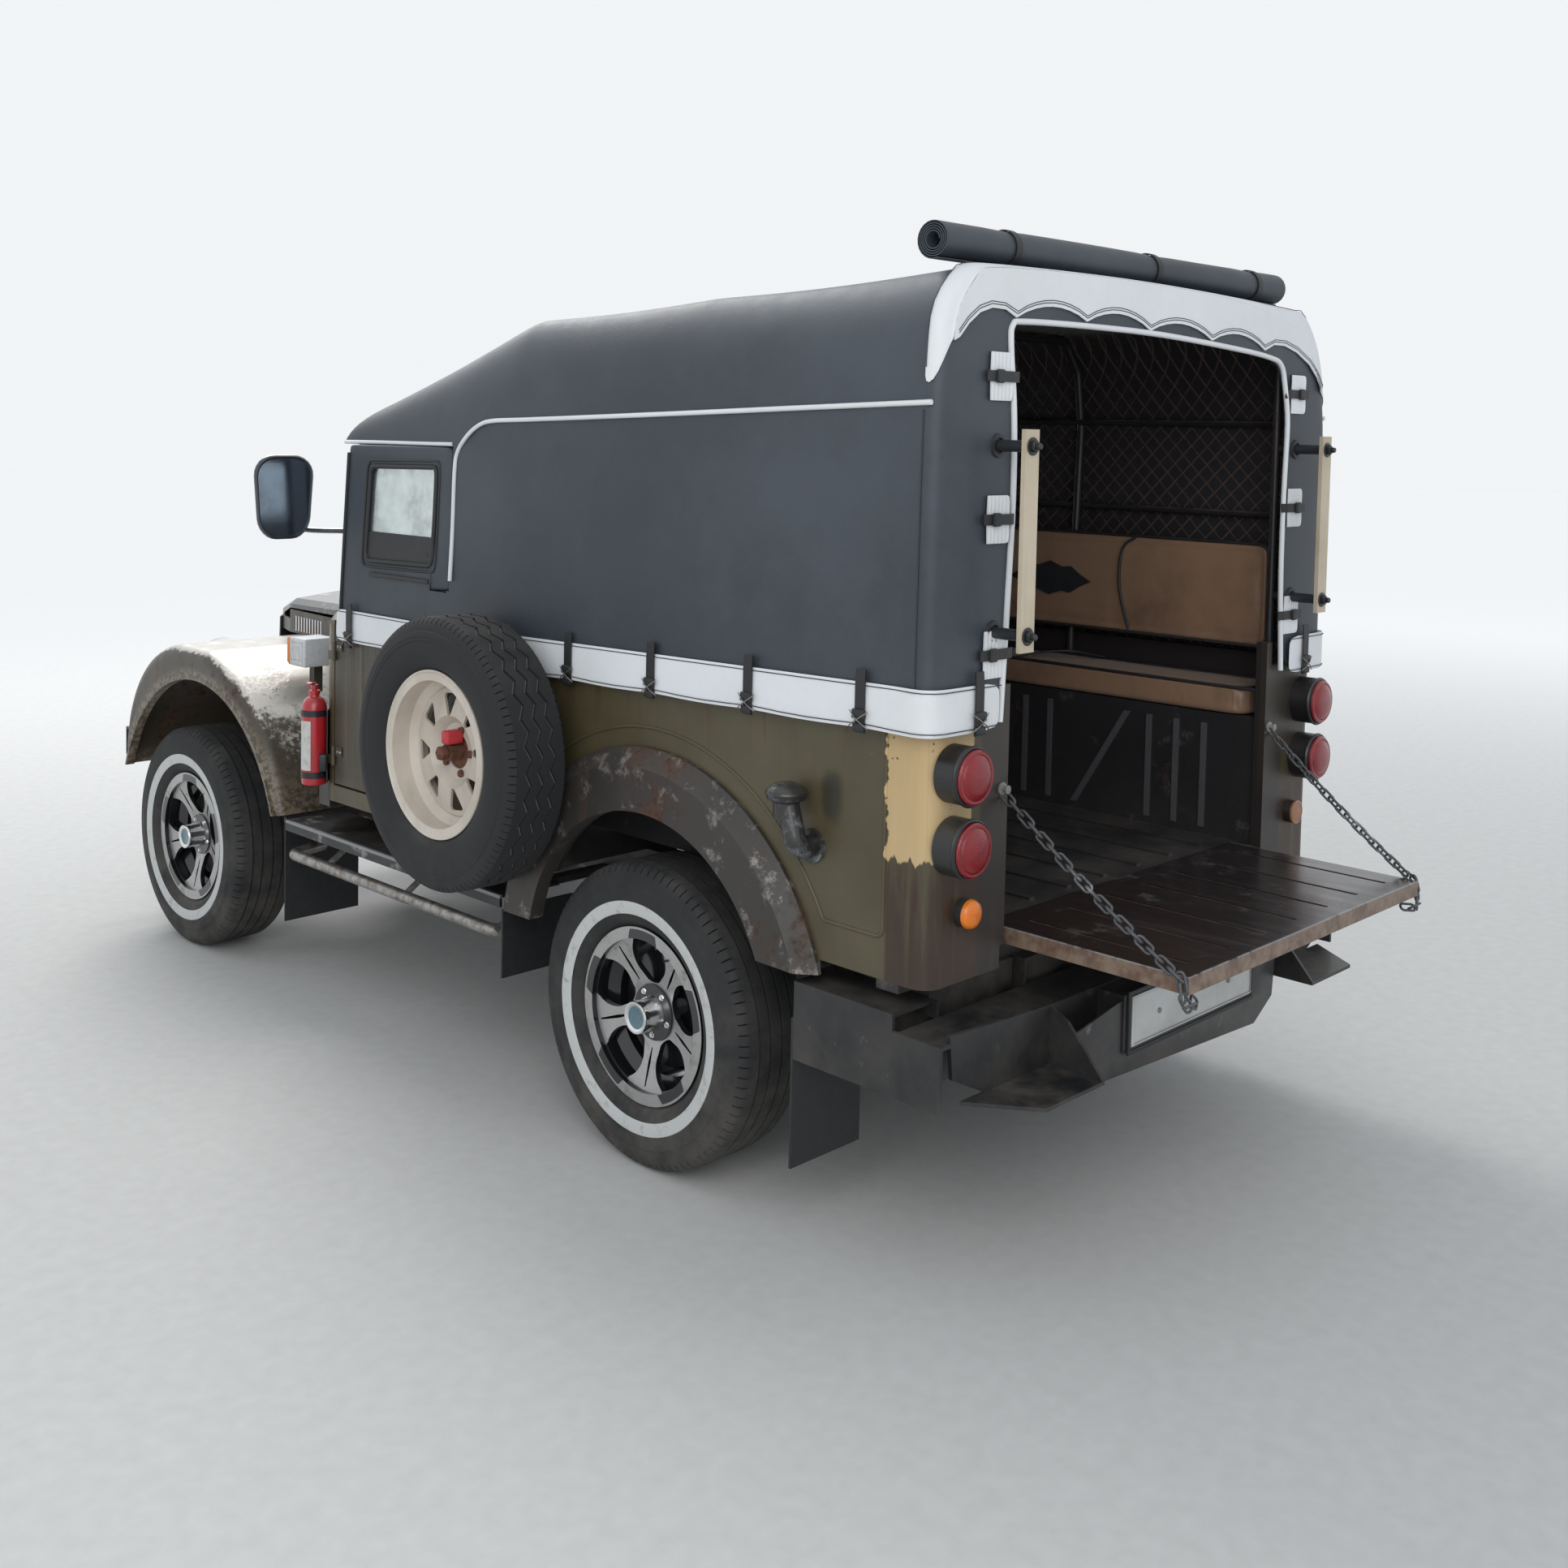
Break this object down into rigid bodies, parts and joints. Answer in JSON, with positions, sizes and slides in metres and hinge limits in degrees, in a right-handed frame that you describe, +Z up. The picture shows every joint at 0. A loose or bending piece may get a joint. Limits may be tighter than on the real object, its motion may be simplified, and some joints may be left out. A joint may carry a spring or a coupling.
{
  "type": "light army 4x4 car with canvas top",
  "caption": "Two-door light military 4x4 with canvas canopy, side benches, side-mounted spare wheel and drop tailgate; wheels, steering, doors, bonnet and tailgate move.",
  "frame": {"origin": "on the ground, on the centre line, half way along the overall length with the tailgate down", "axes": "front faces -Y, left side is +X, +Z up"},
  "size_m": [2.0643, 4.175, 2.1787],
  "materials": {
    "chassis_black": "worn satin",
    "bumper_black": "satin",
    "cast_grey": "oily",
    "rusty_steel": "rusty",
    "black_plastic": "matt",
    "army_paint": "worn matt with rust",
    "floor_paint": "worn semi-gloss",
    "clear_glass": "clear",
    "chrome": "polished",
    "canvas": "coated canvas",
    "beige_paint": "worn",
    "red_paint": "gloss",
    "white_paint": "chipped gloss",
    "tyre_rubber": "matt",
    "flap_rubber": "matt",
    "seat_vinyl": "worn vinyl",
    "steel_chain": "galvanised",
    "alloy": "dark with machined faces"
  },
  "bodies": {
    "vehicle": {"chassis_frame": "chassis_black", "front_bumper": "bumper_black", "rear_bumper": "bumper_black", "side_steps": "bumper_black", "front_axle": "chassis_black", "rear_axle": "chassis_black", "driveline": "cast_grey", "exhaust": "rusty_steel", "fuel_tank": "chassis_black", "fuel_filler": "black_plastic", "grille": "army_paint", "headlamps": "chrome", "front_fenders": "army_paint", "cowl": "army_paint", "windshield": "army_paint", "windshield_glass": "clear_glass", "tub_floor": "floor_paint", "tub_side_left": "army_paint", "tub_side_right": "army_paint", "rear_fenders": "army_paint", "canopy": "canvas", "canopy_bows": "chassis_black", "curtain_roll": "canvas", "grab_bars": "beige_paint", "tail_lamps": "black_plastic", "extinguisher": "red_paint", "mirrors": "black_plastic", "spare_carrier": "rusty_steel", "spare_rim": "white_paint", "spare_tyre": "tyre_rubber", "mud_flaps": "flap_rubber", "front_seats": "seat_vinyl", "bench_seats": "seat_vinyl", "tailgate_chains": "steel_chain"},
    "bonnet": {"bonnet": "army_paint"},
    "steering_wheel": {"steering_wheel": "black_plastic"},
    "knuckle_left": {"knuckle_left": "cast_grey"},
    "knuckle_right": {"knuckle_right": "cast_grey"},
    "tie_rod": {"tie_rod": "chassis_black"},
    "door_left": {"door_left": "army_paint", "door_top_left": "canvas"},
    "door_right": {"door_right": "army_paint", "door_top_right": "canvas"},
    "tailgate": {"tailgate": "floor_paint"},
    "wheel_front_left": {"tyre_front_left": "tyre_rubber", "rim_front_left": "alloy"},
    "wheel_front_right": {"tyre_front_right": "tyre_rubber", "rim_front_right": "alloy"},
    "wheel_rear_left": {"tyre_rear_left": "tyre_rubber", "rim_rear_left": "alloy"},
    "wheel_rear_right": {"tyre_rear_right": "tyre_rubber", "rim_rear_right": "alloy"}
  },
  "joints": [
    {"name": "steer_left", "type": "hinge", "parent": "vehicle", "child": "knuckle_left", "pos_m": [0.6, -1.4875, 0.362], "axis": [0, 0, 1], "range_deg": [-26, 26]},
    {"name": "steer_right", "type": "hinge", "parent": "vehicle", "child": "knuckle_right", "pos_m": [-0.6, -1.4875, 0.362], "axis": [0, 0, 1], "range_deg": [-26, 26]},
    {"name": "tie_rod_slide", "type": "slide", "parent": "vehicle", "child": "tie_rod", "axis": [-1, 0, 0], "range_m": [-0.0724, 0.0724]},
    {"name": "steering_turn", "type": "hinge", "parent": "vehicle", "child": "steering_wheel", "pos_m": [0.34, -0.3975, 1.13], "axis": [0, 0.782, 0.6233], "range_deg": [-416, 416]},
    {"name": "wheel_front_left", "type": "hinge", "parent": "knuckle_left", "child": "wheel_front_left", "pos_m": [0.72, -1.4875, 0.362], "axis": [1, 0, 0], "continuous": true},
    {"name": "wheel_front_right", "type": "hinge", "parent": "knuckle_right", "child": "wheel_front_right", "pos_m": [-0.72, -1.4875, 0.362], "axis": [1, 0, 0], "continuous": true},
    {"name": "wheel_rear_left", "type": "hinge", "parent": "vehicle", "child": "wheel_rear_left", "pos_m": [0.72, 0.8125, 0.362], "axis": [1, 0, 0], "continuous": true},
    {"name": "wheel_rear_right", "type": "hinge", "parent": "vehicle", "child": "wheel_rear_right", "pos_m": [-0.72, 0.8125, 0.362], "axis": [1, 0, 0], "continuous": true},
    {"name": "door_left_hinge", "type": "hinge", "parent": "vehicle", "child": "door_left", "pos_m": [0.806, -0.5855, 0.9], "axis": [0, 0, -1], "range_deg": [0, 65]},
    {"name": "door_right_hinge", "type": "hinge", "parent": "vehicle", "child": "door_right", "pos_m": [-0.806, -0.5855, 0.9], "axis": [0, 0, 1], "range_deg": [0, 65]},
    {"name": "tailgate_hinge", "type": "hinge", "parent": "vehicle", "child": "tailgate", "pos_m": [0, 1.5975, 0.698], "axis": [1, 0, 0], "range_deg": [0, 90], "deforming": ["tailgate_chains"]},
    {"name": "bonnet_hinge", "type": "hinge", "parent": "vehicle", "child": "bonnet", "pos_m": [0, -0.8195, 1.176], "axis": [-1, 0, 0], "range_deg": [0, 50]}
  ],
  "couplings": [
    {"joint": "steer_right", "follows": "steer_left", "ratio": 1},
    {"joint": "tie_rod_slide", "follows": "steer_left", "m_per_rad": 0.15956},
    {"joint": "steering_turn", "follows": "steer_left", "ratio": 16}
  ]
}
